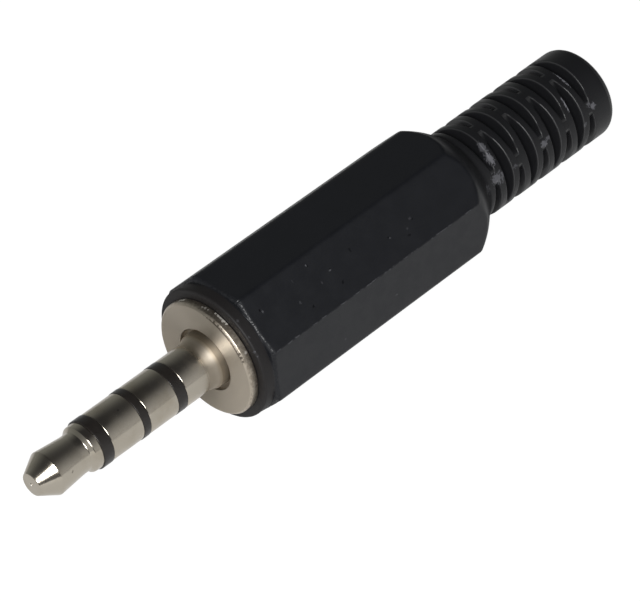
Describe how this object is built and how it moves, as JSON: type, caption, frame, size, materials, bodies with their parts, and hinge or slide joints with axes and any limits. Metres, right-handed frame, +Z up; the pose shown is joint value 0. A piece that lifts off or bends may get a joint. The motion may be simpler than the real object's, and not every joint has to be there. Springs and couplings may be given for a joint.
{
  "type": "four-pole 3.5 mm audio plug",
  "caption": "Straight 3.5 mm audio plug with tip, two rings and sleeve, a round flange, solder tags inside and a screw-on octagonal cover with a slotted strain relief.",
  "frame": {"origin": "on the plug's axis, in the plane of the flange's front face, where it meets the socket", "axes": "the pin points along -X, the cable leaves along +X, +Z is up and one flat of the cover faces down"},
  "size_m": [0.0516, 0.0098, 0.0098],
  "materials": {
    "nickel": "nickel plated, bright",
    "tinned": "tin plated, satin",
    "ring_plastic": "semi-gloss",
    "cover_plastic": "satin, moulded",
    "fibre": "matte"
  },
  "bodies": {
    "plug": {"tip_contact": "nickel", "insulator_a": "ring_plastic", "ring1_contact": "nickel", "insulator_b": "ring_plastic", "ring2_contact": "nickel", "insulator_c": "ring_plastic", "body": "nickel", "sleeve_clamp": "tinned", "washer_1": "fibre", "ring2_tag": "tinned", "washer_2": "fibre", "ring1_tag": "tinned", "washer_3": "fibre", "tip_tag": "tinned"},
    "cover": {"cover": "cover_plastic"}
  },
  "joints": [
    {"name": "cover_off", "type": "slide", "parent": "plug", "child": "cover", "axis": [1, 0, 0], "range_m": [0, 0.02]}
  ]
}
